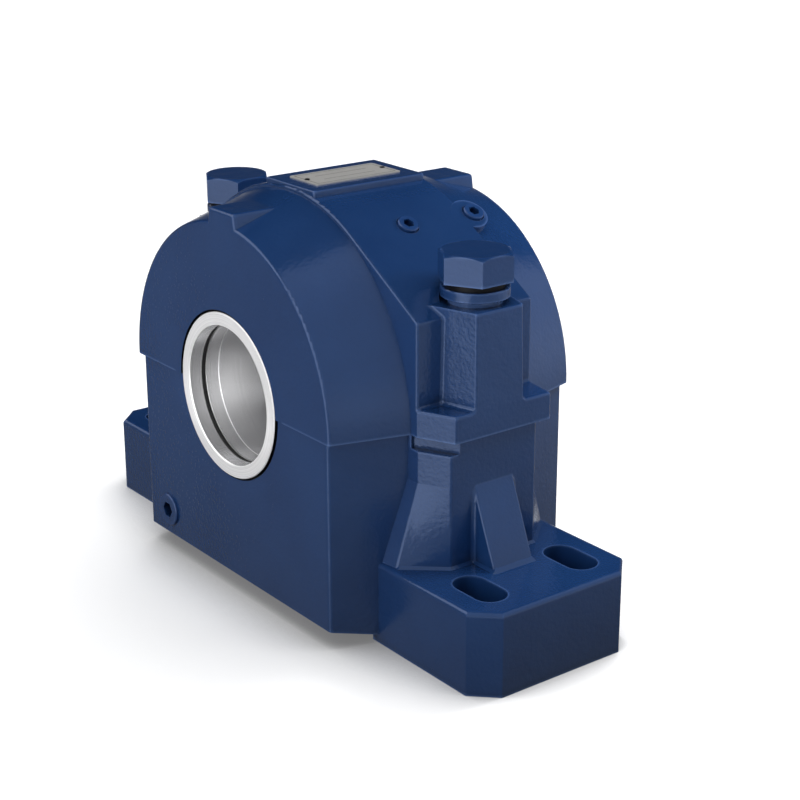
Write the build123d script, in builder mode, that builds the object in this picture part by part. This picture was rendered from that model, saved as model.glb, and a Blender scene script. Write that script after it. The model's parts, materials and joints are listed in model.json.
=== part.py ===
from build123d import *
import os
from math import acos, asin, atan2, cos, degrees, radians, sin, sqrt, tan

os.makedirs("parts", exist_ok=True)

# Split plummer block for a 100 mm shaft, carried by a spherical roller bearing on an adapter sleeve.
# Frame: X across the feet, Y along the shaft, Z up. The origin is on the mounting plane, under the
# middle of the bearing. All lengths are in millimetres and all angles in degrees.

# ---- shaft and housing height ----
shaft_d = 100.0
axis_z = 150.0

# ---- feet ----
foot_length = 476.0
foot_depth = 137.0
foot_h = 59.5
foot_cut_x = 16.5
foot_cut_y = 17.0
foot_edge_r = 3.5
slot_span_x = 401.0
slot_span_y = 79.5
slot_w = 24.0
slot_l = 43.0
relief_half_w = 122.0
relief_h = 6.0

# ---- base body ----
base_front_w = 238.0
base_depth = 204.0
nose_taper = 15.8
nose_lift = 13.8
base_edge_r = 3.0
wall_y = 48.0
column_in_x = 145.0
column_x = 166.3
column_half_y = 36.4
flare_top_z = 117.5
flare_in_x = 143.0
flare_in_y = 64.5
flare_y = 66.5
rib_half_w = 17.0
rib_bury = 8.0
rib_reach = 22.5
rib_top_z = 115.0
notch_depth = 6.0
notch_h = 10.0
notch_past = 12.0
notch_lead = 6.0
notch_lip_r = 1.5
column_edge_r = 2.5
root_blend_r = 3.0
foot_cove = 1.8
cove_bury = 1.0
rib_edge_r = 1.8
column_bury = 15.0

# ---- cap ----
cap_front_r = 123.4
cap_overhang_y = 2.2
mid_half_depth = 49.0
mid_half_w = 145.5
roof_r = 141.8
shoulder_z = 227.6
cap_edge_r = 2.5
casting_edge_r = 2.0
lug_edge_r = 3.0
pad_edge_r = 1.5
pillar_x = 168.5
pillar_half_y = 20.5
pillar_flank = 18.7
pillar_top_z = 234.5
pillar_draft = 1.2
pillar_bury = 24.0
pillar_blend_r = 2.5
crease_r = 3.0
flange_bury = 10.0
flange_x = 171.3
flange_front_y = 36.8
flange_rear_y = 45.0
flange_root_y = 49.0
flange_h = 18.7
lug_half_w = 16.0
lug_spread = 2.8
lug_h = 18.0
lug_top_z = 282.7
pad_half_w = 30.0
pad_half_d = 47.5
pad_proud = 1.4
pad_bury = 6.0

# ---- cap bolts ----
bolt_x = 144.6
bolt_d = 30.0
bolt_head_af = 46.0
bolt_head_h = 19.7
bolt_length = 160.0
bolt_hole_d = 33.0
bolt_boss_d = 36.5
bolt_boss_h = 4.1
flat_washer_d = 46.4
flat_washer_t = 6.8
washer_edge = 0.4
washer_hole_d = 31.0
bolt_head_face_d = 45.4
bolt_head_slant = 30.0
bolt_hole_past = 6.0
bolt_tip = 2.0
spring_washer_d = 40.0
spring_washer_t = 4.2
spring_washer_gap = 3.0
spotface_margin = 0.6
thread_gap = 0.05

# ---- dowels ----
dowel_d = 10.0
dowel_l = 32.0
dowel_x = 140.0
dowel_y = 30.0
dowel_gap = 0.02
dowel_edge = 1.0
blind_hole_past = 1.0

# ---- inside of the housing ----
bearing_d = 200.0
bearing_w = 53.0
bearing_bore = 110.0
locating_ring_w = 10.0
locating_ring_wall = 6.5
seat_gap = 0.05
web_r = 92.0
web_w = 6.5
chamber_r = 106.0
end_wall = 20.0
sump_floor_z = 22.0
sump_corner_r = 14.0
oil_way_d = 12.0
oil_way_x = 30.0
oil_way_z = 38.0

# ---- seal rings ----
ring_d = 119.6
ring_w = 25.0
ring_set_back = 0.2
fin_d = 131.6
fin_w = 3.6
fin_pitch = 9.0
fin_first = 5.6
ring_side_gap = 1.5
fin_side_gap = 1.2
fin_tip_gap = 0.4
cord_d = 4.2
cord_inset = 12.3
cord_gap = 0.02
cord_proud_gap = 0.05
ring_edge = 0.8

# ---- bearing inside ----
roller_d = 24.0
roller_l = 19.0
roller_count = 17
roller_y = 14.5
raceway_r = 91.6
roller_gap = 0.2
cage_t = 2.4
cage_lip = 2.6
pocket_gap = 0.25
guide_in_half_w = 2.6
guide_out_half_w = 4.4
guide_ring_r = 78.3
guide_gap = 0.3
taper_ratio = 12.0
groove_w = 11.0
groove_deep = 1.5
lube_hole_d = 6.0
lube_hole_count = 3
bearing_chamfer = 2.0
inner_land_half_w = 2.9

# ---- sleeve, nut and lock washer ----
sleeve_small_out = 1.5
nut_wall = 17.5
nut_w = 20.0
nut_slot_w = 12.0
nut_slot_deep = 6.0
nut_slot_count = 4
washer_bore_gap = 0.2
lock_washer_t = 2.0
lock_washer_inset = 0.5
lock_tab_inset = 0.5
lock_tab_w = 11.0
lock_tab_count = 13
sleeve_slot_w = 8.0
tab_gap = 0.25
spacer_d = 120.0
sleeve_gap = 0.02
sleeve_tail = 1.5
nut_chamfer = 1.5
bent_tab_l = 9.0

# ---- screw plugs ----
plug_y = -1.0
rear_plug_y = 56.5
plug_seat_drop = 0.6
plug_seat_margin = 0.8
plug_collar_d = 15.0
plug_collar_t = 2.8
plug_edge = 0.6
plug_thread_d = 12.0
plug_thread_l = 11.0
plug_hex = 7.0
plug_hex_deep = 5.0
plug_boss_d = 27.4
plug_boss_y = 53.0
drain_x = -91.0
drain_z = 33.0
drain_collar_d = 25.0
drain_collar_t = 2.0
drain_thread_d = 19.5
drain_thread_l = 15.0
drain_hex = 11.0
drain_hex_deep = 7.0
plug_hole_extra = 2.0
grease_way_d = 7.0

# ---- name plate ----
plate_w = 35.0
plate_d = 72.5
plate_t = 0.8
rivet_pitch = 65.0
rivet_d = 2.4
rivet_head_d = 3.6
rivet_head_t = 0.7
rivet_l = 8.0
plate_corner_r = 2.0

# ---- derived places ----
shaft_r = shaft_d / 2
foot_x = foot_length / 2
foot_y = foot_depth / 2
base_y = base_depth / 2
base_x = base_front_w / 2
cap_y = base_y + cap_overhang_y
nose_grow = tan(radians(nose_taper))
wall_x = base_x + (base_y - wall_y) * nose_grow
cone_mid_r = cap_front_r + (cap_y - mid_half_depth) * nose_grow
shoulder_r = sqrt(mid_half_w**2 + (shoulder_z - axis_z) ** 2)
slope_turn = degrees(atan2(shoulder_z - axis_z, mid_half_w) + acos(roof_r / shoulder_r))
slope_x = roof_r * cos(radians(slope_turn))
slope_z = axis_z + roof_r * sin(radians(slope_turn))
roof_top_z = axis_z + roof_r
pad_top_z = roof_top_z + pad_proud
seat_r = bearing_d / 2
seat_half_w = bearing_w / 2 + locating_ring_w
web_half_w = seat_half_w + web_w
chamber_end = base_y - end_wall
ring_face = cap_y - ring_set_back
ring_back = ring_face - ring_w
ring_r = ring_d / 2
fin_r = fin_d / 2
groove_r = fin_r + fin_tip_gap
wall_bore_r = ring_r + ring_side_gap
boss_top_z = pillar_top_z + bolt_boss_h
spring_z = boss_top_z + flat_washer_t
head_z = spring_z + spring_washer_t
pitch_r = raceway_r - roller_gap - roller_d / 2
tilt = degrees(asin(roller_y / pitch_r))
roller_r = pitch_r * cos(radians(tilt))
barrel_r = raceway_r - roller_gap
race_y = 2 * roller_y
race_z = 2 * roller_r
half_bearing = bearing_w / 2
bore_small_r = bearing_bore / 2
bore_large_r = bore_small_r + bearing_w / taper_ratio / 2
sleeve_front = half_bearing + sleeve_small_out
nut_front = half_bearing + lock_washer_t
nut_r = bore_small_r + nut_wall
slot_floor_r = nut_r - nut_slot_deep
lock_washer_r = slot_floor_r - lock_washer_inset
nut_back = nut_front + nut_w

shaft_axis = Axis((0, 0, axis_z), (0, 1, 0))
radial_plane = Plane(origin=(0, 0, axis_z), x_dir=(0, 1, 0), z_dir=(1, 0, 0))


def bolt_places(z):
    """The two cap bolts stand on the shaft's cross plane, one on each side."""
    return [(-bolt_x, 0, z), (bolt_x, 0, z)]


def slope_plane(y):
    """The sloping face on the +X side, where it leaves the round of the roof, facing outwards."""
    facing = (cos(radians(slope_turn)), 0, sin(radians(slope_turn)))
    return Plane(origin=(slope_x, y, slope_z), x_dir=(0, 1, 0), z_dir=facing)


plug_planes = [slope_plane(y).offset(-plug_seat_drop) for y in (plug_y, rear_plug_y)]


def across_shaft(y):
    """A plane square to the shaft, seen from the front: extruding by a minus amount goes to the rear."""
    return Plane(origin=(0, y, axis_z), x_dir=(1, 0, 0), z_dir=(0, -1, 0))


def around_shaft(count, start=0.0):
    """Evenly spaced turns about the shaft axis."""
    to_axis = Location((0, 0, axis_z))
    turns = [Location((0, 0, 0), (0, start + 360 * i / count, 0)) for i in range(count)]
    return [to_axis * turn * to_axis.inverse() for turn in turns]


# ---- the bored inside, turned about the shaft axis and shared by base and cap ----
first_groove = ring_face - fin_first + fin_side_gap
second_groove = first_groove - fin_pitch
groove_width = fin_w + 2 * fin_side_gap
with BuildPart() as bored_inside:
    with BuildSketch(radial_plane):
        Polygon(
            (0, 0),
            (cap_y + 1, 0),
            (cap_y + 1, wall_bore_r),
            (first_groove, wall_bore_r),
            (first_groove, groove_r),
            (first_groove - groove_width, groove_r),
            (first_groove - groove_width, wall_bore_r),
            (second_groove, wall_bore_r),
            (second_groove, groove_r),
            (second_groove - groove_width, groove_r),
            (second_groove - groove_width, wall_bore_r),
            (chamber_end, wall_bore_r),
            (chamber_end, chamber_r),
            (web_half_w, chamber_r),
            (web_half_w, web_r),
            (seat_half_w, web_r),
            (seat_half_w, seat_r),
            (0, seat_r),
            align=None,
        )
    revolve(axis=shaft_axis)
    mirror(about=Plane.XZ)



# ---- base ----
foot_plan = [(foot_x, foot_y - foot_cut_y), (foot_x - foot_cut_x, foot_y)]
foot_plan += [(-x, y) for x, y in reversed(foot_plan)]
base_plan = [(base_x, base_y), (wall_x, wall_y), (wall_x, -wall_y), (base_x, -base_y)]
column_root_x = wall_x - column_bury
column_top = [(column_root_x, wall_y), (column_in_x, wall_y), (column_x, column_half_y)]
column_top += [(x, -y) for x, y in reversed(column_top)]
column_foot = [(column_root_x, flare_y), (flare_in_x, flare_in_y), (column_x, column_half_y)]
column_foot += [(x, -y) for x, y in reversed(column_foot)]

with BuildPart() as foot_slab:
    with BuildSketch():
        Polygon(*foot_plan, *[(-x, -y) for x, y in foot_plan], align=None)
    extrude(amount=foot_h)
    fillet(faces().sort_by(Axis.Z)[-1].edges(), foot_edge_r)

with BuildPart() as column:
    with BuildSketch(Plane.XY.offset(foot_h)):
        Polygon(*column_foot, align=None)
        fillet(vertices().sort_by(Axis.X)[-4:], column_edge_r)
    with BuildSketch(Plane.XY.offset(flare_top_z)):
        Polygon(*column_top, align=None)
        fillet(vertices().sort_by(Axis.X)[-4:], column_edge_r)
    loft(ruled=True)
    with BuildSketch(Plane.XY.offset(flare_top_z)):
        Polygon(*column_top, align=None)
        fillet(vertices().sort_by(Axis.X)[-4:], column_edge_r)
    extrude(amount=axis_z - flare_top_z)

with BuildPart() as rib:
    with BuildSketch(Plane.XZ.offset(-rib_half_w)):
        Polygon(
            (column_x - rib_bury, foot_h),
            (column_x + rib_reach, foot_h),
            (column_x, rib_top_z),
            (column_x - rib_bury, rib_top_z),
            align=None,
        )
    extrude(amount=2 * rib_half_w)
    slope_sides = edges().filter_by(lambda e: e.center().X > column_x + rib_reach / 3)
    fillet(slope_sides.filter_by(lambda e: e.center().Z > foot_h + 1), rib_edge_r)

# One side of the base above its foot: the flared column, its rib, and the blends at their roots.
with BuildPart() as column_side:
    add(column.part)
    add(rib.part)
    on_face = edges().filter_by(lambda e: abs(e.center().X - column_x) < 1 and e.center().Z > foot_h + 1)
    fillet(on_face.filter_by(lambda e: abs(abs(e.center().Y) - rib_half_w) < 1), root_blend_r)
    with BuildSketch(Plane.XY.offset(foot_h)):
        Polygon(*column_foot, align=None)
        with Locations((column_x, 0)):
            Rectangle(2 * rib_reach, 2 * rib_half_w)
        offset(amount=foot_cove)
        Rectangle(foot_length, 2 * flare_in_y, mode=Mode.INTERSECT)
    extrude(amount=foot_cove + cove_bury, taper=45)

# A pry notch opens at the split, along the front flank of one column and the rear flank of the other.
flank_x = column_x - column_in_x
flank_y = wall_y - column_half_y
flank = degrees(atan2(flank_y, flank_x))
notch_l = notch_lead + sqrt(flank_x**2 + flank_y**2) + notch_past
notch_plane = Plane(
    origin=(column_in_x, -wall_y, axis_z),
    x_dir=(cos(radians(flank)), sin(radians(flank)), 0),
    z_dir=(0, 0, -1),
)
with BuildPart() as pry_notch:
    with BuildSketch(notch_plane):
        with Locations((-notch_lead, 0)):
            Rectangle(notch_l, 2 * notch_depth, align=(Align.MIN, Align.CENTER))
    extrude(amount=notch_h)
    # The floor runs out over a rounded lip.
    with BuildSketch(Plane(origin=notch_plane.origin, x_dir=notch_plane.y_dir, z_dir=notch_plane.x_dir)):
        with Locations((0, notch_h)):
            Rectangle(2 * notch_lip_r, 2 * notch_lip_r)
        with Locations((-notch_lip_r, notch_h + notch_lip_r)):
            Circle(notch_lip_r, mode=Mode.SUBTRACT)
    extrude(amount=notch_l)

with BuildPart() as sump:
    with BuildSketch(Plane.XZ.offset(-chamber_end)):
        with Locations((0, sump_floor_z)):
            Rectangle(2 * chamber_r, axis_z - sump_floor_z, align=(Align.CENTER, Align.MIN))
        fillet(vertices().sort_by(Axis.Y)[:2], sump_corner_r)
    extrude(amount=chamber_end - web_half_w)
    mirror(about=Plane.XZ)
    with BuildSketch(Plane.XZ.offset(-web_half_w)):
        with Locations((-oil_way_x, oil_way_z), (oil_way_x, oil_way_z)):
            Circle(oil_way_d / 2)
    extrude(amount=2 * web_half_w)

with BuildPart() as housing_base:
    with BuildSketch():
        Polygon(*base_plan, *[(-x, -y) for x, y in base_plan], align=None)
    extrude(amount=axis_z)
    fillet(edges().filter_by(Axis.Z).filter_by(lambda e: abs(e.center().Y) > base_y - 1), base_edge_r)
    # The ends of the body lift off the mounting plane, and the middle is relieved between the feet.
    with BuildSketch(Plane.YZ):
        Polygon((-base_y, 0), (-base_y, nose_lift), (-foot_y, relief_h), (-foot_y, 0), align=None)
        mirror(about=Plane.YZ)
    extrude(amount=foot_x, both=True, mode=Mode.SUBTRACT)
    add(foot_slab.part)
    with BuildSketch():
        Rectangle(2 * relief_half_w, 2 * base_y)
    extrude(amount=relief_h, mode=Mode.SUBTRACT)
    add(column_side.part)
    add(column_side.part.rotate(Axis.Z, 180))
    add(bored_inside.part, mode=Mode.SUBTRACT)
    add(sump.part, mode=Mode.SUBTRACT)
    add(pry_notch.part, mode=Mode.SUBTRACT)
    add(pry_notch.part.rotate(Axis.Z, 180), mode=Mode.SUBTRACT)
    with BuildSketch(Plane.XY.offset(foot_h)):
        with GridLocations(slot_span_x, slot_span_y, 2, 2):
            SlotOverall(slot_l, slot_w)
    extrude(amount=-foot_h, mode=Mode.SUBTRACT)
    with BuildSketch(Plane.XY.offset(axis_z)):
        with Locations(*bolt_places(0)):
            Circle(bolt_d / 2 + thread_gap)
    extrude(amount=-(bolt_length - (head_z - axis_z) + bolt_hole_past), mode=Mode.SUBTRACT)
    with BuildSketch(Plane.XY.offset(axis_z)):
        with Locations((dowel_x, -dowel_y), (-dowel_x, dowel_y)):
            Circle(dowel_d / 2 + dowel_gap)
    extrude(amount=-(dowel_l / 2 + blind_hole_past), mode=Mode.SUBTRACT)
    with BuildSketch(Plane.XZ.offset(base_y)):
        with Locations((drain_x, drain_z)):
            Circle(drain_thread_d / 2 + thread_gap)
    extrude(amount=-end_wall, mode=Mode.SUBTRACT)
housing_base.part.label = "housing_base"
export_step(housing_base.part, "parts/housing_base.step")

# ---- cap ----
with BuildPart() as end_cones:
    with BuildSketch(radial_plane):
        Polygon(
            (-cap_y, 0),
            (-cap_y, cap_front_r),
            (-mid_half_depth, cone_mid_r),
            (mid_half_depth, cone_mid_r),
            (cap_y, cap_front_r),
            (cap_y, 0),
            align=None,
        )
    revolve(axis=shaft_axis)
    split(bisect_by=Plane.XY.offset(axis_z), keep=Keep.TOP)
    rims = edges().filter_by(GeomType.CIRCLE).filter_by(lambda e: abs(e.center().Y) > cap_y - 1)
    fillet(rims, cap_edge_r)

# The roof is round about the shaft, and leaves the round in a straight slope down to each shoulder.
with BuildPart() as roof:
    with BuildSketch(Plane.XZ.offset(-mid_half_depth)):
        with BuildLine():
            ThreePointArc((-slope_x, slope_z), (0, roof_top_z), (slope_x, slope_z))
            Polyline(
                (slope_x, slope_z),
                (mid_half_w, shoulder_z),
                (mid_half_w, axis_z),
                (-mid_half_w, axis_z),
                (-mid_half_w, shoulder_z),
                (-slope_x, slope_z),
            )
        make_face()
    extrude(amount=2 * mid_half_depth)
    end_edges = edges().filter_by(lambda e: abs(abs(e.center().Y) - mid_half_depth) < 0.01)
    shoulder_edges = edges().filter_by(Axis.Y).filter_by(lambda e: abs(e.center().Z - shoulder_z) < 0.01)
    fillet(end_edges.filter_by(lambda e: e.center().Z > axis_z + 1) + shoulder_edges, casting_edge_r)

pillar_root_x = mid_half_w - pillar_bury
pillar_root_y = pillar_half_y + (pillar_x - pillar_root_x) * tan(radians(pillar_flank))
flange_in_x = mid_half_w - flange_bury
flange_top_z = axis_z + flange_h
with BuildPart() as bolt_side:
    with BuildSketch(Plane.XY.offset(axis_z)):
        Polygon(
            (flange_in_x, flange_root_y),
            (mid_half_w, flange_root_y),
            (flange_x, flange_rear_y),
            (flange_x, -flange_front_y),
            (mid_half_w, -flange_root_y),
            (flange_in_x, -flange_root_y),
            align=None,
        )
    extrude(amount=flange_h)
    fillet(edges().filter_by(Axis.Z).filter_by(lambda e: e.center().X > mid_half_w + 1), casting_edge_r)
    with BuildSketch(Plane.XY.offset(flange_top_z)):
        Polygon(
            (pillar_root_x, -pillar_root_y),
            (flange_x, -pillar_half_y),
            (flange_x, pillar_half_y),
            (pillar_root_x, pillar_root_y),
            align=None,
        )
    extrude(amount=pillar_top_z - flange_top_z, taper=pillar_draft)
    # The pillar's flanks sweep into the flange, and one rounded edge runs round the outer face.
    on_flange = edges().filter_by(lambda e: abs(e.center().Z - flange_top_z) < 0.01)
    inboard = on_flange.filter_by(lambda e: mid_half_w < e.center().X < flange_x - 1)
    fillet(inboard.filter_by(lambda e: abs(e.center().Y) < pillar_root_y), root_blend_r)
    outer = edges().filter_by(lambda e: e.center().X > pillar_x and e.center().Z > flange_top_z - 0.01)
    fold = outer.filter_by(lambda e: abs(e.center().Y) < 0.5 and e.center().Z < flange_top_z + 1)
    fillet(outer - fold, casting_edge_r)

with BuildPart() as middle:
    add(roof.part)
    add(bolt_side.part)
    add(bolt_side.part.rotate(Axis.Z, 180))
    on_wall = edges().filter_by(lambda e: abs(abs(e.center().X) - mid_half_w) < 0.1)
    beside = on_wall.filter_by(lambda e: abs(e.center().Y) < pillar_root_y and e.length > pillar_bury)
    fillet(beside, pillar_blend_r)
    creases = edges().filter_by(Axis.Y).filter_by(lambda e: abs(e.center().Z - pillar_top_z) < 0.1)
    fillet(creases.filter_by(lambda e: abs(e.center().X) < mid_half_w), crease_r)

with BuildPart() as lug:
    with BuildSketch(Plane.XZ.offset(cap_y)):
        Polygon(
            (-lug_half_w, lug_top_z),
            (lug_half_w, lug_top_z),
            (lug_half_w + lug_spread, lug_top_z - lug_h),
            (-lug_half_w - lug_spread, lug_top_z - lug_h),
            align=None,
        )
    extrude(amount=-(cap_y - mid_half_depth + 1))
    top_edges = edges().filter_by(lambda e: e.center().Z > lug_top_z - lug_h + 1)
    fillet(top_edges.filter_by(lambda e: e.center().Y < mid_half_depth - cap_y), lug_edge_r)

with BuildPart() as pad:
    with BuildSketch(Plane.XY.offset(roof_top_z - pad_bury)):
        RectangleRounded(2 * pad_half_w, 2 * pad_half_d, casting_edge_r)
    extrude(amount=pad_bury + pad_proud)
    fillet(edges().group_by(Axis.Z)[-1], pad_edge_r)

with BuildPart() as housing_cap:
    add(end_cones.part)
    add(middle.part)
    add(lug.part)
    add(lug.part.rotate(Axis.Z, 180))
    add(pad.part)
    with BuildSketch(slope_plane(plug_boss_y)):
        Circle(plug_boss_d / 2)
    extrude(amount=-plug_boss_d)
    # Each bolt has a machined boss inside a spot face cut into the slope of the roof.
    with BuildSketch(Plane.XY.offset(pillar_top_z)):
        with Locations(*bolt_places(0)):
            Circle(flat_washer_d / 2 + spotface_margin)
    extrude(amount=roof_top_z - pillar_top_z, mode=Mode.SUBTRACT)
    with BuildSketch(Plane.XY.offset(pillar_top_z)):
        with Locations(*bolt_places(0)):
            Circle(bolt_boss_d / 2)
    extrude(amount=bolt_boss_h)
    add(bored_inside.part, mode=Mode.SUBTRACT)
    with BuildSketch(Plane.XY.offset(axis_z)):
        with Locations(*bolt_places(0)):
            Circle(bolt_hole_d / 2)
    extrude(amount=boss_top_z - axis_z, mode=Mode.SUBTRACT)
    with BuildSketch(Plane.XY.offset(axis_z)):
        with Locations((dowel_x, -dowel_y), (-dowel_x, dowel_y)):
            Circle(dowel_d / 2 + dowel_gap)
    extrude(amount=dowel_l / 2 + blind_hole_past, mode=Mode.SUBTRACT)
    # Each plug has a spot face, a threaded hole and a grease way on to the bearing.
    with BuildSketch(*plug_planes):
        Circle(plug_collar_d / 2 + plug_seat_margin)
    extrude(amount=plug_collar_t, mode=Mode.SUBTRACT)
    with BuildSketch(*plug_planes):
        Circle(plug_thread_d / 2 + thread_gap)
    extrude(amount=-(plug_thread_l + plug_hole_extra), mode=Mode.SUBTRACT)
    with BuildSketch(*plug_planes):
        Circle(grease_way_d / 2)
    extrude(amount=-cap_front_r / 2, mode=Mode.SUBTRACT)
    with BuildSketch(Plane.XY.offset(pad_top_z)):
        with Locations((0, -rivet_pitch / 2), (0, rivet_pitch / 2)):
            Circle(rivet_d / 2 + dowel_gap)
    extrude(amount=-(rivet_l + blind_hole_past), mode=Mode.SUBTRACT)
housing_cap.part.label = "housing_cap"
export_step(housing_cap.part, "parts/housing_cap.step")

# ---- cap bolts, washers and dowels ----
with BuildPart() as one_bolt:
    with BuildSketch(Plane.XY.offset(head_z)):
        RegularPolygon(bolt_head_af / 2, 6, major_radius=False, rotation=30)
    extrude(amount=bolt_head_h)
    # The head's corners are turned off at a slant.
    head_corner_r = bolt_head_af / sqrt(3) + 1
    corner_drop = (head_corner_r - bolt_head_face_d / 2) * tan(radians(bolt_head_slant))
    with BuildSketch(Plane.XZ):
        Polygon(
            (0, head_z),
            (head_corner_r, head_z),
            (head_corner_r, head_z + bolt_head_h - corner_drop),
            (bolt_head_face_d / 2, head_z + bolt_head_h),
            (0, head_z + bolt_head_h),
            align=None,
        )
    revolve(axis=Axis.Z, mode=Mode.INTERSECT)
    with BuildSketch(Plane.XY.offset(head_z)):
        Circle(bolt_d / 2)
    extrude(amount=-bolt_length)
    chamfer(edges().group_by(Axis.Z)[0], bolt_tip)

with BuildPart() as cap_bolts:
    with Locations(*bolt_places(0)):
        add(one_bolt.part)
cap_bolts.part.label = "cap_bolts"
export_step(cap_bolts.part, "parts/cap_bolts.step")

with BuildPart() as flat_washers:
    with BuildSketch(Plane.XY.offset(boss_top_z)):
        with Locations(*bolt_places(0)):
            Circle(flat_washer_d / 2)
            Circle(washer_hole_d / 2, mode=Mode.SUBTRACT)
    extrude(amount=flat_washer_t)
    chamfer(edges().filter_by(GeomType.CIRCLE).filter_by(lambda e: e.radius > bolt_d * 0.7), washer_edge)
flat_washers.part.label = "flat_washers"
export_step(flat_washers.part, "parts/flat_washers.step")

with BuildPart() as spring_washers:
    with BuildSketch(Plane.XY.offset(spring_z)):
        with Locations(*bolt_places(0)):
            Circle(spring_washer_d / 2)
            Circle(washer_hole_d / 2, mode=Mode.SUBTRACT)
            Rectangle(
                spring_washer_gap,
                spring_washer_d,
                align=(Align.CENTER, Align.MIN),
                mode=Mode.SUBTRACT,
            )
    extrude(amount=spring_washer_t)
spring_washers.part.label = "spring_washers"
export_step(spring_washers.part, "parts/spring_washers.step")

with BuildPart() as dowel_pins:
    with BuildSketch(Plane.XY.offset(axis_z - dowel_l / 2)):
        with Locations((dowel_x, -dowel_y), (-dowel_x, dowel_y)):
            Circle(dowel_d / 2)
    extrude(amount=dowel_l)
    chamfer(edges().filter_by(GeomType.CIRCLE), dowel_edge)
dowel_pins.part.label = "dowel_pins"
export_step(dowel_pins.part, "parts/dowel_pins.step")

# ---- name plate, with a bare face, and its drive rivets ----
rivet_places = [(0, -rivet_pitch / 2), (0, rivet_pitch / 2)]
with BuildPart() as name_plate:
    with BuildSketch(Plane.XY.offset(pad_top_z)):
        RectangleRounded(plate_w, plate_d, plate_corner_r)
        with Locations(*rivet_places):
            Circle(rivet_d / 2 + dowel_gap, mode=Mode.SUBTRACT)
    extrude(amount=plate_t)
name_plate.part.label = "name_plate"
export_step(name_plate.part, "parts/name_plate.step")

with BuildPart() as plate_rivets:
    with BuildSketch(Plane.XY.offset(pad_top_z + plate_t)):
        with Locations(*rivet_places):
            Circle(rivet_head_d / 2)
    extrude(amount=rivet_head_t)
    fillet(faces().group_by(Axis.Z)[-1].edges(), rivet_head_t / 2)
    with BuildSketch(Plane.XY.offset(pad_top_z + plate_t)):
        with Locations(*rivet_places):
            Circle(rivet_d / 2)
    extrude(amount=-rivet_l)
plate_rivets.part.label = "plate_rivets"
export_step(plate_rivets.part, "parts/plate_rivets.step")

# ---- screw plugs with a collar and a hexagon socket ----
with BuildPart() as cap_plugs:
    with BuildSketch(*plug_planes):
        Circle(plug_collar_d / 2)
    extrude(amount=plug_collar_t)
    chamfer(edges().group_by(Axis(plug_planes[0].origin, plug_planes[0].z_dir))[-1], plug_edge)
    with BuildSketch(*plug_planes):
        Circle(plug_thread_d / 2)
    extrude(amount=-plug_thread_l)
    with BuildSketch(*[plane.offset(plug_collar_t) for plane in plug_planes]):
        RegularPolygon(plug_hex / 2, 6, major_radius=False)
    extrude(amount=-plug_hex_deep, mode=Mode.SUBTRACT)
cap_plugs.part.label = "cap_plugs"
export_step(cap_plugs.part, "parts/cap_plugs.step")

with BuildPart() as drain_plug:
    with BuildSketch(Plane.XZ.offset(base_y)):
        with Locations((drain_x, drain_z)):
            Circle(drain_collar_d / 2)
    extrude(amount=drain_collar_t)
    chamfer(edges().group_by(Axis.Y)[0], plug_edge)
    with BuildSketch(Plane.XZ.offset(base_y)):
        with Locations((drain_x, drain_z)):
            Circle(drain_thread_d / 2)
    extrude(amount=-drain_thread_l)
    with BuildSketch(Plane.XZ.offset(base_y + drain_collar_t)):
        with Locations((drain_x, drain_z)):
            RegularPolygon(drain_hex / 2, 6, major_radius=False)
    extrude(amount=-drain_hex_deep, mode=Mode.SUBTRACT)
drain_plug.part.label = "drain_plug"
export_step(drain_plug.part, "parts/drain_plug.step")

# ---- labyrinth seal rings, which turn with the shaft, and the cords that seal them to it ----
first_fin = ring_face - fin_first
second_fin = first_fin - fin_pitch
cord_y = ring_face - cord_inset
cord_r = shaft_r + cord_proud_gap + cord_d / 2
with BuildPart() as rear_seal_ring:
    with BuildSketch(radial_plane):
        Polygon(
            (ring_back, shaft_r),
            (ring_face, shaft_r),
            (ring_face, ring_r),
            (first_fin, ring_r),
            (first_fin, fin_r),
            (first_fin - fin_w, fin_r),
            (first_fin - fin_w, ring_r),
            (second_fin, ring_r),
            (second_fin, fin_r),
            (second_fin - fin_w, fin_r),
            (second_fin - fin_w, ring_r),
            (ring_back, ring_r),
            align=None,
        )
        chamfer(vertices().group_by(Axis.X)[0] + vertices().group_by(Axis.X)[-1], ring_edge)
        with Locations((cord_y, shaft_r)):
            Rectangle(
                cord_d + 2 * cord_gap,
                2 * (cord_r + cord_d / 2 + cord_gap - shaft_r),
                mode=Mode.SUBTRACT,
            )
    revolve(axis=shaft_axis)
with BuildPart() as rear_o_ring:
    with BuildSketch(radial_plane):
        with Locations((cord_y, cord_r)):
            Circle(cord_d / 2)
    revolve(axis=shaft_axis)

# ---- spherical roller bearing ----
raceway_end = sqrt(raceway_r**2 - half_bearing**2)
outer_r = seat_r - seat_gap
with BuildPart() as bearing_outer_ring:
    with BuildSketch(radial_plane):
        with BuildLine():
            ThreePointArc((-half_bearing, raceway_end), (0, raceway_r), (half_bearing, raceway_end))
            Polyline(
                (half_bearing, raceway_end),
                (half_bearing, outer_r - bearing_chamfer),
                (half_bearing - bearing_chamfer, outer_r),
                (bearing_chamfer - half_bearing, outer_r),
                (-half_bearing, outer_r - bearing_chamfer),
                (-half_bearing, raceway_end),
            )
        make_face()
        with Locations((0, outer_r)):
            Rectangle(groove_w, 2 * groove_deep, mode=Mode.SUBTRACT)
    revolve(axis=shaft_axis)
    with Locations(*around_shaft(lube_hole_count)):
        with Locations((0, 0, axis_z + raceway_r)):
            Cylinder(lube_hole_d / 2, 4 * bearing_chamfer + seat_r - raceway_r, mode=Mode.SUBTRACT)
bearing_outer_ring.part.label = "bearing_outer_ring"
export_step(bearing_outer_ring.part, "parts/bearing_outer_ring.step")

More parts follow.
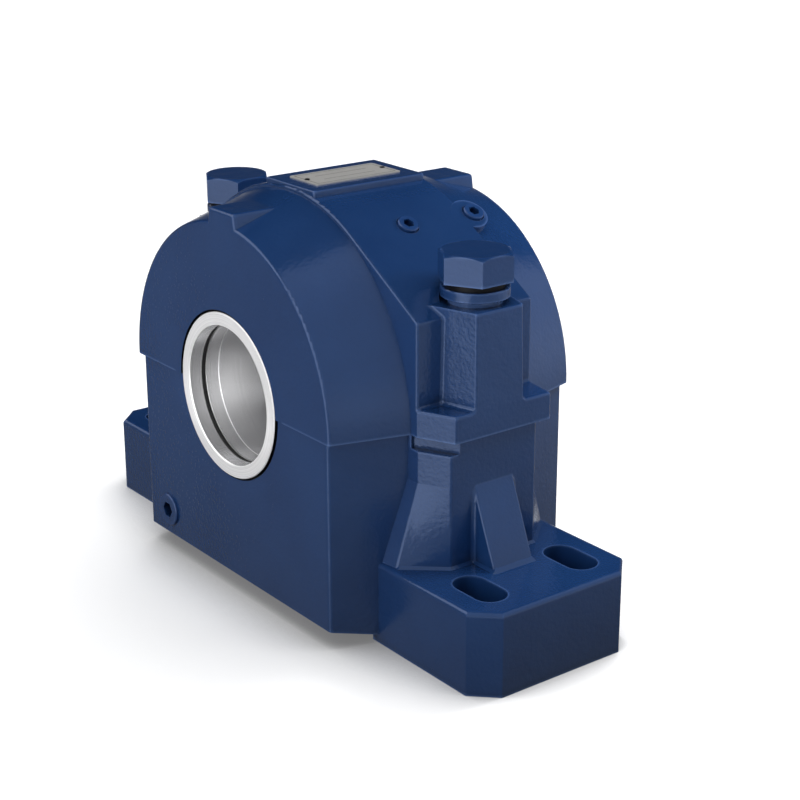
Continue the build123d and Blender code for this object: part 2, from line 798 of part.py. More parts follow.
# Each row's raceway on the inner ring is an arc that mirrors the outer one in the rollers' axis.
land_r = race_z - sqrt(raceway_r**2 - (race_y - inner_land_half_w) ** 2)
inner_end_r = race_z - sqrt(raceway_r**2 - (race_y - half_bearing) ** 2)
race_mid_y = (inner_land_half_w + half_bearing) / 2
race_mid_r = race_z - sqrt(raceway_r**2 - (race_y - race_mid_y) ** 2)
with BuildPart() as bearing_inner_ring:
    with BuildSketch(radial_plane):
        with BuildLine():
            ThreePointArc(
                (inner_land_half_w, land_r),
                (race_mid_y, race_mid_r),
                (half_bearing, inner_end_r),
            )
            Polyline(
                (half_bearing, inner_end_r),
                (half_bearing, bore_small_r),
                (-half_bearing, bore_large_r),
                (-half_bearing, inner_end_r),
            )
            ThreePointArc(
                (-half_bearing, inner_end_r),
                (-race_mid_y, race_mid_r),
                (-inner_land_half_w, land_r),
            )
            Line((-inner_land_half_w, land_r), (inner_land_half_w, land_r))
        make_face()
    revolve(axis=shaft_axis)
bearing_inner_ring.part.label = "bearing_inner_ring"
export_step(bearing_inner_ring.part, "parts/bearing_inner_ring.step")

roller_plane = Plane(
    origin=(0, roller_y, axis_z + roller_r),
    x_dir=(0, cos(radians(tilt)), -sin(radians(tilt))),
    z_dir=(1, 0, 0),
)
roller_axis = Axis(roller_plane.origin, roller_plane.x_dir)


def barrel_profile(grow):
    """Half the section of a barrel roller, larger by grow all round, with its axis along x."""
    half = roller_l / 2 + grow
    end_r = sqrt((barrel_r + grow) ** 2 - half**2) - pitch_r
    with BuildSketch(roller_plane) as profile:
        with BuildLine():
            Polyline((-half, end_r), (-half, 0), (half, 0), (half, end_r))
            ThreePointArc((half, end_r), (0, roller_d / 2 + grow), (-half, end_r))
        make_face()
    return profile.sketch


with BuildPart() as one_roller:
    revolve(barrel_profile(0), axis=roller_axis)
with BuildPart() as one_pocket:
    revolve(barrel_profile(pocket_gap), axis=roller_axis)
with BuildPart() as rear_rollers:
    with Locations(*around_shaft(roller_count)):
        add(one_roller.part)
with BuildPart() as rear_cage:
    with BuildSketch(roller_plane):
        Rectangle(roller_l + 2 * (pocket_gap + cage_lip), cage_t)
    revolve(axis=shaft_axis)
    with Locations(*around_shaft(roller_count)):
        add(one_pocket.part, mode=Mode.SUBTRACT)

# The guide ring floats between the rows, on the land of the inner ring.
guide_in_r = land_r + guide_gap
with BuildPart() as guide_ring:
    with BuildSketch(radial_plane):
        Polygon(
            (-guide_in_half_w, guide_in_r),
            (guide_in_half_w, guide_in_r),
            (guide_out_half_w, guide_ring_r),
            (-guide_out_half_w, guide_ring_r),
            align=None,
        )
    revolve(axis=shaft_axis)
guide_ring.part.label = "guide_ring"
export_step(guide_ring.part, "parts/guide_ring.step")

with BuildPart() as rear_locating_ring:
    with BuildSketch(radial_plane):
        with Locations((half_bearing + locating_ring_w / 2, outer_r - locating_ring_wall / 2)):
            Rectangle(locating_ring_w, locating_ring_wall)
    revolve(axis=shaft_axis)

# ---- adapter sleeve with its nut and lock washer, and the spacer in front of the bearing ----
taper_end_r = bore_large_r + sleeve_small_out / taper_ratio / 2
sleeve_back = nut_back + sleeve_tail
with BuildPart() as adapter_sleeve:
    with BuildSketch(radial_plane):
        Polygon(
            (-sleeve_front, shaft_r),
            (-sleeve_front, taper_end_r - sleeve_gap),
            (half_bearing, bore_small_r - sleeve_gap),
            (sleeve_back, bore_small_r - sleeve_gap),
            (sleeve_back, shaft_r),
            align=None,
        )
    revolve(axis=shaft_axis)
    with BuildSketch(across_shaft(-sleeve_front)):
        Rectangle(nut_r, sleeve_slot_w, align=(Align.MAX, Align.CENTER))
    extrude(amount=-(sleeve_front + sleeve_back), mode=Mode.SUBTRACT)
adapter_sleeve.part.label = "adapter_sleeve"
export_step(adapter_sleeve.part, "parts/adapter_sleeve.step")

lock_tab_out = nut_r - lock_tab_inset - lock_washer_r
tab_step = 360 / lock_tab_count
with BuildPart() as lock_washer:
    with BuildSketch(across_shaft(half_bearing)):
        Circle(lock_washer_r)
        with PolarLocations(lock_washer_r, lock_tab_count - 1, tab_step, 360 - tab_step):
            Rectangle(2 * lock_tab_out, lock_tab_w)
        Rectangle(slot_floor_r + tab_gap, lock_tab_w, align=(Align.MIN, Align.CENTER))
        Circle(bore_small_r + washer_bore_gap, mode=Mode.SUBTRACT)
        with Locations((-shaft_r - tab_gap, 0)):
            Rectangle(
                lock_washer_r - shaft_r - tab_gap,
                sleeve_slot_w - 4 * tab_gap,
                align=(Align.MAX, Align.CENTER),
            )
    extrude(amount=-lock_washer_t)
    # One outer tab is bent over into a slot of the nut.
    with BuildSketch(across_shaft(half_bearing)):
        with Locations((slot_floor_r + tab_gap, 0)):
            Rectangle(lock_washer_t, lock_tab_w, align=(Align.MIN, Align.CENTER))
    extrude(amount=-(lock_washer_t + bent_tab_l))
lock_washer.part.label = "lock_washer"
export_step(lock_washer.part, "parts/lock_washer.step")

with BuildPart() as lock_nut:
    with BuildSketch(across_shaft(nut_front)):
        Circle(nut_r)
    extrude(amount=-nut_w)
    chamfer(edges().group_by(Axis.Y)[-1], nut_chamfer)
    with BuildSketch(across_shaft(nut_front)):
        Circle(bore_small_r + thread_gap)
        with PolarLocations(nut_r, nut_slot_count):
            Rectangle(2 * nut_slot_deep, nut_slot_w)
    extrude(amount=-nut_w, mode=Mode.SUBTRACT)
lock_nut.part.label = "lock_nut"
export_step(lock_nut.part, "parts/lock_nut.step")

with BuildPart() as spacer_sleeve:
    with BuildSketch(radial_plane):
        Polygon(
            (-ring_back, shaft_r),
            (-ring_back, spacer_d / 2),
            (-half_bearing, spacer_d / 2),
            (-half_bearing, taper_end_r + guide_gap),
            (-sleeve_front - guide_gap, taper_end_r + guide_gap),
            (-sleeve_front - guide_gap, shaft_r),
            align=None,
        )
    revolve(axis=shaft_axis)
spacer_sleeve.part.label = "spacer_sleeve"
export_step(spacer_sleeve.part, "parts/spacer_sleeve.step")

# ---- the pieces that come in pairs, one at each end of the shaft's middle plane ----
half_step = 180 / roller_count
pairs = [
    ("seal_ring", rear_seal_ring, 0),
    ("o_ring", rear_o_ring, 0),
    ("rollers", rear_rollers, half_step),
    ("cage", rear_cage, half_step),
    ("locating_ring", rear_locating_ring, 0),
]
for name, rear_piece, turn in pairs:
    rear_piece.part.label = f"rear_{name}"
    export_step(rear_piece.part, f"parts/rear_{name}.step")
    with BuildPart() as front_piece:
        add(rear_piece.part.mirror(Plane.XZ).rotate(shaft_axis, turn))
    front_piece.part.label = f"front_{name}"
    export_step(front_piece.part, f"parts/front_{name}.step")
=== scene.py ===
import json
from math import cos, radians, sin

import bmesh
import bpy
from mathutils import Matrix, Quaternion, Vector


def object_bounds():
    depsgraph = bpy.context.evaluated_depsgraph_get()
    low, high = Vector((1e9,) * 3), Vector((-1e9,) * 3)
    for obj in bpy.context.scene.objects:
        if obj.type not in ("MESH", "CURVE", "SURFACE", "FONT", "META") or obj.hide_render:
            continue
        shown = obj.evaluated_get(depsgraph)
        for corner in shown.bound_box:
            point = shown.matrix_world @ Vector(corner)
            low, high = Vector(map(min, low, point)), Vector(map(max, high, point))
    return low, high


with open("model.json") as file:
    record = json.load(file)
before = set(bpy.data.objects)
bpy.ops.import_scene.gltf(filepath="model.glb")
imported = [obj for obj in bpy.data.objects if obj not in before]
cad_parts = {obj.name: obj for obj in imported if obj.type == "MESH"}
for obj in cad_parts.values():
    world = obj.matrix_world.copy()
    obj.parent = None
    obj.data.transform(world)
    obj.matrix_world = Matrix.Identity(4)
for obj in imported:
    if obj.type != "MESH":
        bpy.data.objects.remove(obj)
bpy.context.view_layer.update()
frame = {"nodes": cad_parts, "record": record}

nodes = frame["nodes"]

MM = 0.001
SHAFT_Z = 150 * MM

# ---- camera ----
CAMERA_PLACE = Vector((996.19, -712.22, 562.63)) * MM
CAMERA_TURN = 52.595
CAMERA_DIP = 18.718
CAMERA_ROLL = -0.09
CAMERA_LENS = 79.42
CAMERA_SENSOR = 36
CAMERA_SHIFT = (-0.0017, -0.0382)

# ---- a colour Mix node, its two colour inputs and its result ----
MIX = "ShaderNodeMix"
MIX_A, MIX_B, MIX_OUT = 6, 7, 2

# ---- enamel, with pattern sizes in millimetres ----
BLOTCH_MM = 60
PEEL_MM = 2.6
SAND_MM = 14
SAND_TO_PEEL = 1.6
SKIN_DEPTH = 0.3 * MM
# painted shade: the enamel is darkened in corners within this reach
SHADE_CORNER_REACH = 14 * MM
# painted highlight: edges within this reach are paled
HIGHLIGHT_EDGE_REACH = 3.5 * MM
ENAMEL_GLOSS = 0.16
BARE_IRON_GLOSS = 0.6

# ---- the housing's inside, and the shaft's opening in its end walls ----
WALL_OUTSIDE = 99 * MM
CHAMBER_RADIUS = 104 * MM
OPENING_RADIUS = 61.3 * MM
# the painted edge highlight fades in between these distances from the shaft
HIGHLIGHT_EDGES_FROM = 68 * MM
HIGHLIGHT_EDGES_TO = 72 * MM

# ---- turned steel ----
TOOL_RING_MM = 0.8
GRAIN_DEPTH = 0.05 * MM
BORE_RADIUS = 50.3 * MM
# beyond this radius the seal ring is painted near black as shade in the gap to the housing
GAP_SHADE_RADIUS = 59.65 * MM
FACE_ROUGHNESS, BORE_ROUGHNESS = 0.42, 0.25
FACE_METALLIC, BORE_METALLIC = 0.4, 0.84

# ---- name plate: half sizes of the border line and of the rules ----
BORDER_HALF = (14.6 * MM, 33.4 * MM)
LINE_HALF = 0.35 * MM
RULE_X = 5.5 * MM
RULE_HALF = 22 * MM

# ---- studio ----
WHITE = "#ffffff"
PAPER = "#fdfdfd"
FLAG_REACH = 140 * MM
FLAG_DROP = 1 * MM
FLOOR_REACH = 30
# reach of the painted shadow on the floor paper round the part
PAINTED_SHADOW_REACH = 75 * MM
FLOOR_GLOW = 0.15
SKY = 0.15
ROOM_RADIUS = 60
ROOM_LOW = 0.22
SOFTBOX = 0.6
# direction (azimuth, elevation), angle at the edge, angle of full glow, glow
PANELS = [
    ((8, 0), 34, 20, 1.2),
    ((-5, 33), 28, 12, 0.8),
    ((-45, 42), 34, 20, 1.6),
    ((-127, -22), 24, 12, 1.2),
]
BACK_LAMP_PLACE = Vector((250, 360, 420)) * MM
BACK_LAMP_TARGET = Vector((80, 0, 150)) * MM
BORE_LAMP_TARGET = Vector((-48, -75, 136)) * MM
BORE_LAMP_AWAY = 900 * MM


# ---- helpers ----
def linear(hex_colour):
    """An sRGB hex colour as linear red, green, blue and alpha."""
    parts = [int(hex_colour[i:i + 2], 16) / 255 for i in (1, 3, 5)]
    return [c / 12.92 if c <= 0.04045 else ((c + 0.055) / 1.055) ** 2.4 for c in parts] + [1.0]


def node(tree, kind, inputs=None, **settings):
    """Adds a node. Settings name its properties; inputs gives sockets a value, a hex colour or a link."""
    made = tree.nodes.new(kind)
    for name, value in settings.items():
        setattr(made, name, value)
    for key, value in (inputs or {}).items():
        if isinstance(value, bpy.types.NodeSocket):
            tree.links.new(value, made.inputs[key])
        else:
            made.inputs[key].default_value = linear(value) if isinstance(value, str) else value
    return made


def new_material(name):
    """A material with an empty node tree."""
    material = bpy.data.materials.new(name)
    material.use_nodes = True
    material.node_tree.nodes.clear()
    return material, material.node_tree


def waves_per(mm):
    """The texture scale whose features are about this many millimetres across."""
    return 1 / (mm * MM)


def add_object(name, data):
    made = bpy.data.objects.new(name, data)
    made.rotation_mode = "QUATERNION"
    bpy.context.scene.collection.objects.link(made)
    return made


def from_angles(azimuth, elevation):
    """The direction at an azimuth from the front towards +X and an elevation, in degrees."""
    turn, rise = radians(azimuth), radians(elevation)
    return Vector((sin(turn) * cos(rise), -cos(turn) * cos(rise), sin(rise)))


# ---- camera ----
def make_camera():
    data = bpy.data.cameras.new("camera")
    data.sensor_width = CAMERA_SENSOR
    data.lens = CAMERA_LENS
    data.shift_x, data.shift_y = CAMERA_SHIFT
    camera = add_object("camera", data)
    camera.location = CAMERA_PLACE
    aim = from_angles(CAMERA_TURN, CAMERA_DIP).to_track_quat("Z", "Y")
    camera.rotation_quaternion = aim @ Quaternion((0, 0, 1), radians(CAMERA_ROLL))
    bpy.context.scene.camera = camera


make_camera()


# ---- materials ----
def object_place(tree):
    """A point of the part, in metres."""
    return node(tree, "ShaderNodeTexCoord").outputs["Object"]


def shaft_radius(tree, place):
    """How far a point is from the shaft's axis."""
    flat = node(
        tree, "ShaderNodeVectorMath", {0: place, 1: (1, 0, 1), 2: (0, 0, -SHAFT_Z)}, operation="MULTIPLY_ADD"
    )
    return node(tree, "ShaderNodeVectorMath", {0: flat.outputs[0]}, operation="LENGTH").outputs["Value"]


def enamel_colour(tree, place, radius, highlight_colour):
    """Deep blue in slow blotches, with painted shade darkening the corners and a painted highlight paling the
    edges.
    """
    blotch = node(
        tree, "ShaderNodeTexNoise", {"Vector": place, "Scale": waves_per(BLOTCH_MM), "Detail": 3.0}
    )
    share = node(
        tree,
        "ShaderNodeMapRange",
        {"Value": blotch.outputs["Fac"], "From Min": 0.3, "From Max": 0.7},
        interpolation_type="SMOOTHSTEP",
    )
    body = node(tree, MIX, {0: share.outputs[0], MIX_A: "#15305a", MIX_B: "#18345f"}, data_type="RGBA")

    # painted shade: darker where the part's own corners hide the light
    corner = node(tree, "ShaderNodeAmbientOcclusion", {"Distance": SHADE_CORNER_REACH}, samples=8)
    share = node(
        tree,
        "ShaderNodeMapRange",
        {"Value": corner.outputs["AO"], "From Min": 0.15, "From Max": 0.75, "To Min": 1.0, "To Max": 0.0},
        interpolation_type="SMOOTHSTEP",
    )
    body = node(
        tree, MIX, {0: share.outputs[0], MIX_A: body.outputs[MIX_OUT], MIX_B: "#0b1a33"}, data_type="RGBA"
    )

    # painted highlight: outward edges are paled towards the given edge colour
    edge = node(tree, "ShaderNodeAmbientOcclusion", {"Distance": HIGHLIGHT_EDGE_REACH}, samples=8, inside=True)
    painted_highlight = node(
        tree,
        "ShaderNodeMapRange",
        {"Value": edge.outputs["AO"], "From Min": 0.45, "From Max": 0.78, "To Min": 1.0, "To Max": 0.0},
        interpolation_type="SMOOTHSTEP",
    )
    # the painted highlight is left off the edge of the shaft's opening, so it stays as dark as the wall
    clear = node(
        tree,
        "ShaderNodeMapRange",
        {"Value": radius, "From Min": HIGHLIGHT_EDGES_FROM, "From Max": HIGHLIGHT_EDGES_TO},
    )
    share = node(tree, "ShaderNodeMath", {0: painted_highlight.outputs[0], 1: clear.outputs[0]}, operation="MULTIPLY")
    return node(
        tree, MIX, {0: share.outputs[0], MIX_A: body.outputs[MIX_OUT], MIX_B: highlight_colour}, data_type="RGBA"
    )


def enamelled(name, highlight_colour):
    """Glossy machine enamel sprayed on sand-cast iron, so it mirrors the lights softly and in waves.

    The spray leaves an orange peel, and under it the mould's sand is still felt as a slow roll. Inside,
    the chamber is bare grey iron, dull and colourless, and the shaft's opening is painted dark as shade
    in the narrow gap round the seal ring.
    """
    material, tree = new_material(name)
    place = object_place(tree)
    radius = shaft_radius(tree, place)
    body = enamel_colour(tree, place, radius, highlight_colour)

    along = node(tree, "ShaderNodeSeparateXYZ", {0: place})
    depth = node(tree, "ShaderNodeMath", {0: along.outputs["Y"]}, operation="ABSOLUTE")
    behind_wall = node(tree, "ShaderNodeMath", {0: depth.outputs[0], 1: WALL_OUTSIDE}, operation="LESS_THAN")
    within = node(tree, "ShaderNodeMath", {0: radius, 1: CHAMBER_RADIUS}, operation="LESS_THAN")
    inside = node(
        tree, "ShaderNodeMath", {0: behind_wall.outputs[0], 1: within.outputs[0]}, operation="MULTIPLY"
    )
    body = node(
        tree, MIX, {0: inside.outputs[0], MIX_A: body.outputs[MIX_OUT], MIX_B: "#4b4c4e"}, data_type="RGBA"
    )
    # painted shade: the opening's bore is painted near black as shade in the narrow gap round the seal ring
    opening = node(tree, "ShaderNodeMath", {0: radius, 1: OPENING_RADIUS}, operation="LESS_THAN")
    body = node(
        tree, MIX, {0: opening.outputs[0], MIX_A: body.outputs[MIX_OUT], MIX_B: "#0b0c0f"}, data_type="RGBA"
    )
    roughness = node(
        tree,
        "ShaderNodeMapRange",
        {"Value": inside.outputs[0], "To Min": ENAMEL_GLOSS, "To Max": BARE_IRON_GLOSS},
    )

    # real orange peel is about 1 mm wide, and is drawn coarser so that it shows
    peel = node(tree, "ShaderNodeTexNoise", {"Vector": place, "Scale": waves_per(PEEL_MM), "Detail": 1.0})
    sand = node(tree, "ShaderNodeTexNoise", {"Vector": place, "Scale": waves_per(SAND_MM), "Detail": 2.0})
    skin = node(
        tree,
        "ShaderNodeMath",
        {0: sand.outputs["Fac"], 1: SAND_TO_PEEL, 2: peel.outputs["Fac"]},
        operation="MULTIPLY_ADD",
    )
    bump = node(
        tree, "ShaderNodeBump", {"Height": skin.outputs[0], "Strength": 0.5, "Distance": SKIN_DEPTH}
    )
    shader = node(
        tree,
        "ShaderNodeBsdfPrincipled",
        {
            "Base Color": body.outputs[MIX_OUT],
            "Roughness": roughness.outputs[0],
            "Normal": bump.outputs["Normal"],
            "IOR": 1.5,
            "Specular IOR Level": 0.85,
            "Specular Tint": "#c3d7ff",
        },
    )
    node(tree, "ShaderNodeOutputMaterial", {"Surface": shader.outputs[0]})
    return material


def tool_rings(tree, place, radius):
    """The height pattern of fine rings about the shaft, on faces and in bores alike.

    A lathe's feed leaves rings about 0.2 mm apart. They are drawn coarser so that they show.
    """
    along = node(tree, "ShaderNodeSeparateXYZ", {0: place})
    spiral = node(tree, "ShaderNodeMath", {0: radius, 1: along.outputs["Y"]}, operation="ADD")
    return node(
        tree,
        "ShaderNodeTexNoise",
        {"W": spiral.outputs[0], "Scale": waves_per(TOOL_RING_MM), "Detail": 2.0},
        noise_dimensions="1D",
    ).outputs["Fac"]


def seal_ring_steel():
    """Mild steel, faced on a lathe: nearly white, with a satin gloss that the rings draw out into arcs.

    The bore is polished where the shaft slides in, so it mirrors. The rim is painted dark as shade in
    the narrow gap to the housing.
    """
    material, tree = new_material("turned_steel")
    place = object_place(tree)
    radius = shaft_radius(tree, place)
    rings = tool_rings(tree, place, radius)
    bump = node(tree, "ShaderNodeBump", {"Height": rings, "Strength": 0.3, "Distance": GRAIN_DEPTH})
    share = node(
        tree,
        "ShaderNodeMapRange",
        {"Value": rings, "From Min": 0.3, "From Max": 0.7},
        interpolation_type="SMOOTHSTEP",
    )
    colour = node(tree, MIX, {0: share.outputs[0], MIX_A: "#e3e3e5", MIX_B: "#fafafb"}, data_type="RGBA")
    # painted shade: the rim is painted near black as shade in the gap to the housing
    gap_shade = node(tree, "ShaderNodeMath", {0: radius, 1: GAP_SHADE_RADIUS}, operation="GREATER_THAN")
    colour = node(
        tree, MIX, {0: gap_shade.outputs[0], MIX_A: colour.outputs[MIX_OUT], MIX_B: "#0b0b0c"}, data_type="RGBA"
    )
    face = node(tree, "ShaderNodeMath", {0: radius, 1: BORE_RADIUS}, operation="GREATER_THAN")
    roughness = node(
        tree,
        "ShaderNodeMapRange",
        {"Value": face.outputs[0], "To Min": BORE_ROUGHNESS, "To Max": FACE_ROUGHNESS},
    )
    metallic = node(
        tree,
        "ShaderNodeMapRange",
        {"Value": face.outputs[0], "To Min": BORE_METALLIC, "To Max": FACE_METALLIC},
    )
    shader = node(
        tree,
        "ShaderNodeBsdfPrincipled",
        {
            "Base Color": colour.outputs[MIX_OUT],
            "Metallic": metallic.outputs[0],
            "Roughness": roughness.outputs[0],
            "Normal": bump.outputs["Normal"],
        },
    )
    node(tree, "ShaderNodeOutputMaterial", {"Surface": shader.outputs[0]})
    return material


def ground_bearing_steel():
    """Hardened bearing steel, ground: a clear, slightly cold mirror with barely felt rings."""
    material, tree = new_material("ground_bearing_steel")
    place = object_place(tree)
    rings = tool_rings(tree, place, shaft_radius(tree, place))
    bump = node(tree, "ShaderNodeBump", {"Height": rings, "Strength": 0.06, "Distance": GRAIN_DEPTH})
    share = node(
        tree,
        "ShaderNodeMapRange",
        {"Value": rings, "From Min": 0.3, "From Max": 0.7},
        interpolation_type="SMOOTHSTEP",
    )
    colour = node(tree, MIX, {0: share.outputs[0], MIX_A: "#dfe1e8", MIX_B: "#e6e8ee"}, data_type="RGBA")
    shader = node(
        tree,
        "ShaderNodeBsdfPrincipled",
        {
            "Base Color": colour.outputs[MIX_OUT],
            "Metallic": 1.0,
            "Roughness": 0.14,
            "Normal": bump.outputs["Normal"],
        },
    )
    node(tree, "ShaderNodeOutputMaterial", {"Surface": shader.outputs[0]})
    return material


def grained(name, colour, roughness, metallic, grain_mm):
    """An even grain in one colour, a hex colour or a socket made by the function colour(tree, place)."""
    material, tree = new_material(name)
    place = object_place(tree)
    grain = node(tree, "ShaderNodeTexNoise", {"Vector": place, "Scale": waves_per(grain_mm), "Detail": 3.0})
    bump = node(
        tree,
        "ShaderNodeBump",
        {"Height": grain.outputs["Fac"], "Strength": 0.2, "Distance": GRAIN_DEPTH},
    )
    shader = node(
        tree,
        "ShaderNodeBsdfPrincipled",
        {
            "Base Color": colour if isinstance(colour, str) else colour(tree, place),
            "Metallic": metallic,
            "Roughness": roughness,
            "Normal": bump.outputs["Normal"],
        },
    )
    node(tree, "ShaderNodeOutputMaterial", {"Surface": shader.outputs[0]})
    return material


def etched_lines(tree, place):
    """Silver grey with a border line and two plain rules etched dark."""
    parts = node(tree, "ShaderNodeSeparateXYZ", {0: place})
    across = node(tree, "ShaderNodeMath", {0: parts.outputs["X"]}, operation="ABSOLUTE").outputs[0]
    along = node(tree, "ShaderNodeMath", {0: parts.outputs["Y"]}, operation="ABSOLUTE").outputs[0]
    # how far a point is outside the border line, whichever side is the nearer
    beyond_x = node(tree, "ShaderNodeMath", {0: across, 1: BORDER_HALF[0]}, operation="SUBTRACT")
    beyond_y = node(tree, "ShaderNodeMath", {0: along, 1: BORDER_HALF[1]}, operation="SUBTRACT")
    beyond = node(
        tree, "ShaderNodeMath", {0: beyond_x.outputs[0], 1: beyond_y.outputs[0]}, operation="MAXIMUM"
    )
    border = node(
        tree, "ShaderNodeMath", {0: beyond.outputs[0], 1: 0.0, 2: LINE_HALF}, operation="COMPARE"
    )
    rule = node(tree, "ShaderNodeMath", {0: across, 1: RULE_X, 2: LINE_HALF}, operation="COMPARE")
    short = node(tree, "ShaderNodeMath", {0: along, 1: RULE_HALF}, operation="LESS_THAN")
    rules = node(tree, "ShaderNodeMath", {0: rule.outputs[0], 1: short.outputs[0]}, operation="MULTIPLY")
    etched = node(tree, "ShaderNodeMath", {0: border.outputs[0], 1: rules.outputs[0]}, operation="MAXIMUM")
    return node(
        tree, MIX, {0: etched.outputs[0], MIX_A: "#b9b8b6", MIX_B: "#4c4b4a"}, data_type="RGBA"
    ).outputs[MIX_OUT]


# A painted highlight pales the casting's edges. The small plugs are as thin as its reach, so their highlight
# colour is close to the enamel's own.
casting_enamel = enamelled("enamelled_cast_iron", "#3d5786")
plug_enamel = enamelled("enamelled_plug_steel", "#1b3765")

material_of = {
    "blue_paint": casting_enamel,
    "bright_steel": seal_ring_steel(),
    "bearing_steel": ground_bearing_steel(),
    # spring steel, heat-blackened in oil: near black with a dull sheen
    "washer_steel": grained("blackened_steel", "#2a2a2d", 0.45, 1.0, 1.5),
    # aluminium sheet as it is rolled: pale and satin, so it takes the colour of the sky
    "plate_alloy": grained("rolled_aluminium", etched_lines, 0.5, 0.6, 1.0),
    # brass cut from a ring: warm yellow with a fairly clear gloss
    "brass_cage": grained("machined_brass", "#c9a35a", 0.3, 1.0, 2.0),
    # moulded nitrile rubber: black, and dull but for a soft sheen
    "black_rubber": grained("nitrile_rubber", "#0c0c0d", 0.6, 0.0, 1.0),
}
for part in frame["record"]["subparts"]:
    mesh = nodes[part["node"]].data
    mesh.materials.clear()
    mesh.materials.append(material_of[part["material_slot"]])
for name in ("cap_plugs", "drain_plug"):
    nodes[name].data.materials[0] = plug_enamel


# ---- floor ----
def add_sheet(name, corners, faces, material, seen_by_camera, seen_by_diffuse):
    """A flat sheet of the studio, which no mirror shows."""
    mesh = bpy.data.meshes.new(name)
    mesh.from_pydata(corners, [], faces)
    mesh.materials.append(material)
    sheet = add_object(name, mesh)
    sheet.visible_camera = seen_by_camera
    sheet.visible_diffuse = seen_by_diffuse
    sheet.visible_glossy = False


def matt(name, colour, glow, painted_shadow_colour=None):
    """A dull sheet that glows a little by itself, and close to the part is darkened towards a given colour as
    a painted shadow.
    """
    material, tree = new_material(name)
    if painted_shadow_colour:
        contact = node(tree, "ShaderNodeAmbientOcclusion", {"Distance": PAINTED_SHADOW_REACH}, samples=16)
        share = node(
            tree,
            "ShaderNodeMapRange",
            {"Value": contact.outputs["AO"], "From Min": 0.2, "From Max": 0.9, "To Min": 1.0, "To Max": 0.0},
            interpolation_type="SMOOTHSTEP",
        )
        colour = node(
            tree, MIX, {0: share.outputs[0], MIX_A: colour, MIX_B: painted_shadow_colour}, data_type="RGBA"
        ).outputs[MIX_OUT]
    shader = node(
        tree,
        "ShaderNodeBsdfPrincipled",
        {"Base Color": colour, "Roughness": 1.0, "Emission Color": WHITE, "Emission Strength": glow},
    )
    node(tree, "ShaderNodeOutputMaterial", {"Surface": shader.outputs[0]})
    return material


def make_floor():
    """White paper, lit a little from below.

    Near the part it throws no light back. A black sheet under it does that, so the low walls stay dark.
    """
    low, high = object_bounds()
    near = [(low[0] - FLAG_REACH, low[1] - FLAG_REACH), (high[0] + FLAG_REACH, high[1] + FLAG_REACH)]
    far = [(-FLOOR_REACH, -FLOOR_REACH), (FLOOR_REACH, FLOOR_REACH)]
    rings = [[(a[0], a[1]), (b[0], a[1]), (b[0], b[1]), (a[0], b[1])] for a, b in (near, far)]
    corners = [(x, y, 0) for ring in rings for x, y in ring]
    border = [(4 + i, 4 + (i + 1) % 4, (i + 1) % 4, i) for i in range(4)]
    under = [(x, y, -FLAG_DROP) for x, y in rings[0]]
    whole = [(0, 1, 2, 3)]
    # a painted shadow darkens the near paper close to the part
    near_paper = matt("floor_paper_near", PAPER, FLOOR_GLOW, painted_shadow_colour="#5c5c60")
    add_sheet("floor_near", corners[:4], whole, near_paper, True, False)
    add_sheet("floor_far", corners, border, matt("floor_paper", PAPER, FLOOR_GLOW), True, True)
    add_sheet("black_sheet", under, whole, matt("black_felt", "#0a0a0a", 0.0), False, True)


# ---- what the gloss mirrors ----
def room_glow(tree):
    """How bright the room is in each direction.

    It has a soft box over the right half, fading towards the floor, a low grey floor all round, and panels.
    """
    heading = node(tree, "ShaderNodeVectorMath", {0: object_place(tree)}, operation="NORMALIZE").outputs[0]
    parts = node(tree, "ShaderNodeSeparateXYZ", {0: heading})
    low = node(
        tree,
        "ShaderNodeMapRange",
        {"Value": parts.outputs["Z"], "From Min": -0.15, "From Max": 0.3, "To Min": ROOM_LOW, "To Max": 0.0},
        interpolation_type="SMOOTHSTEP",
    )
    right = node(
        tree,
        "ShaderNodeMapRange",
        {"Value": parts.outputs["X"], "From Min": -0.02, "From Max": 0.06, "To Max": SOFTBOX},
        interpolation_type="SMOOTHSTEP",
    )
    high = node(
        tree,
        "ShaderNodeMapRange",
        {"Value": parts.outputs["Z"], "From Min": -0.6, "From Max": 0.1},
        interpolation_type="SMOOTHSTEP",
    )
    total = node(
        tree,
        "ShaderNodeMath",
        {0: right.outputs[0], 1: high.outputs[0], 2: low.outputs[0]},
        operation="MULTIPLY_ADD",
    )
    for facing, edge, full, glow in PANELS:
        near = node(
            tree, "ShaderNodeVectorMath", {0: heading, 1: from_angles(*facing)}, operation="DOT_PRODUCT"
        )
        light = node(
            tree,
            "ShaderNodeMapRange",
            {
                "Value": near.outputs["Value"],
                "From Min": cos(radians(edge)),
                "From Max": cos(radians(full)),
                "To Max": glow,
            },
            interpolation_type="SMOOTHSTEP",
        )
        total = node(tree, "ShaderNodeMath", {0: total.outputs[0], 1: light.outputs[0]}, operation="ADD")
    return total.outputs[0]


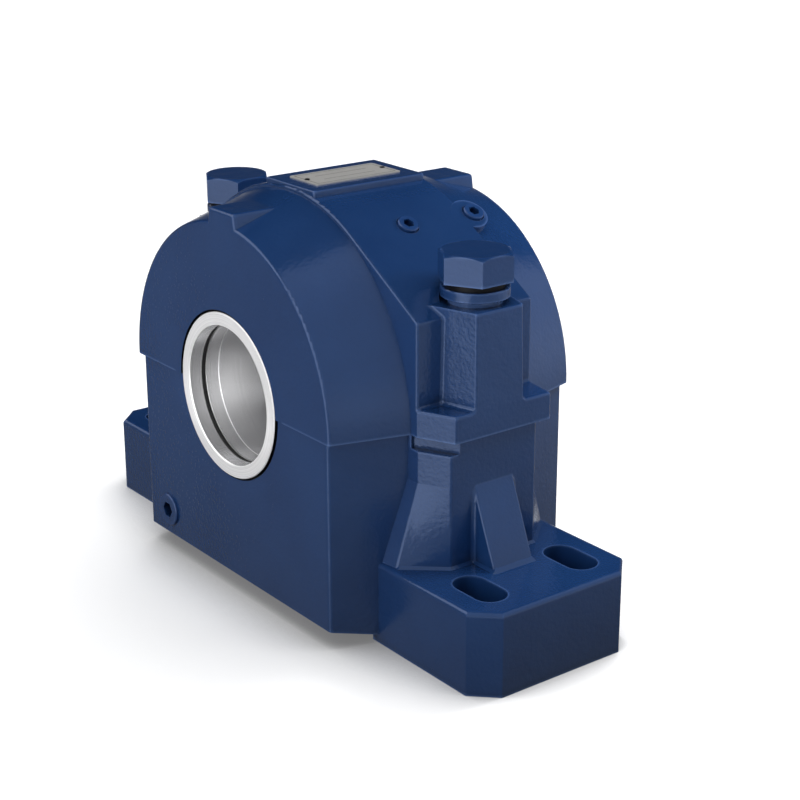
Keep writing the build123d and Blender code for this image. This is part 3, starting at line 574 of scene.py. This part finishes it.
def make_mirrored_room():
    """A glowing shell far round the part, which only its gloss sees."""
    mesh = bpy.data.meshes.new("mirrored_room")
    shape = bmesh.new()
    bmesh.ops.create_icosphere(shape, subdivisions=4, radius=ROOM_RADIUS)
    shape.to_mesh(mesh)
    shape.free()
    material, tree = new_material("room_walls")
    emission = node(tree, "ShaderNodeEmission", {"Strength": room_glow(tree)})
    node(tree, "ShaderNodeOutputMaterial", {"Surface": emission.outputs[0]})
    mesh.materials.append(material)
    room = add_object("mirrored_room", mesh)
    room.visible_camera = False
    room.visible_diffuse = False
    room.visible_shadow = False
    room.visible_transmission = False


# ---- lights ----
def make_world():
    """An even white sky, which lights the part from all round."""
    world = bpy.data.worlds.new("studio")
    world.use_nodes = True
    background = world.node_tree.nodes["Background"]
    background.inputs["Color"].default_value = linear(WHITE)
    background.inputs["Strength"].default_value = SKY
    bpy.context.scene.world = world


def add_light(name, kind, facing, place=(0, 0, 0), mirrored=False, **settings):
    """A light that stands in the direction facing and shines the other way."""
    data = bpy.data.lights.new(name, kind)
    for key, value in settings.items():
        setattr(data, key, value)
    light = add_object(name, data)
    light.location = place
    light.rotation_quaternion = facing.to_track_quat("Z", "Y")
    light.visible_glossy = mirrored


def make_lights():
    """Three broad suns, a soft lamp for the far cone, and a snooted one into the seal ring's bore."""
    front, side = from_angles(0, 50), from_angles(14, 8)
    add_light("front_light", "SUN", front, mirrored=True, angle=radians(60), energy=1.25)
    add_light("low_light", "SUN", side, angle=radians(50), energy=1.4)
    add_light("top_light", "SUN", from_angles(-170, 62), angle=radians(65), energy=2.1)
    add_light(
        "back_lamp",
        "AREA",
        BACK_LAMP_PLACE - BACK_LAMP_TARGET,
        BACK_LAMP_PLACE,
        shape="DISK",
        size=160 * MM,
        energy=1.3,
    )
    bore_side = from_angles(58, 4)
    add_light(
        "bore_lamp",
        "SPOT",
        bore_side,
        BORE_LAMP_TARGET + bore_side * BORE_LAMP_AWAY,
        energy=150,
        spot_size=radians(3.1),
        spot_blend=1.0,
        shadow_soft_size=20 * MM,
    )


make_floor()
make_world()
make_mirrored_room()
make_lights()
bpy.context.scene.view_settings.view_transform = "Standard"
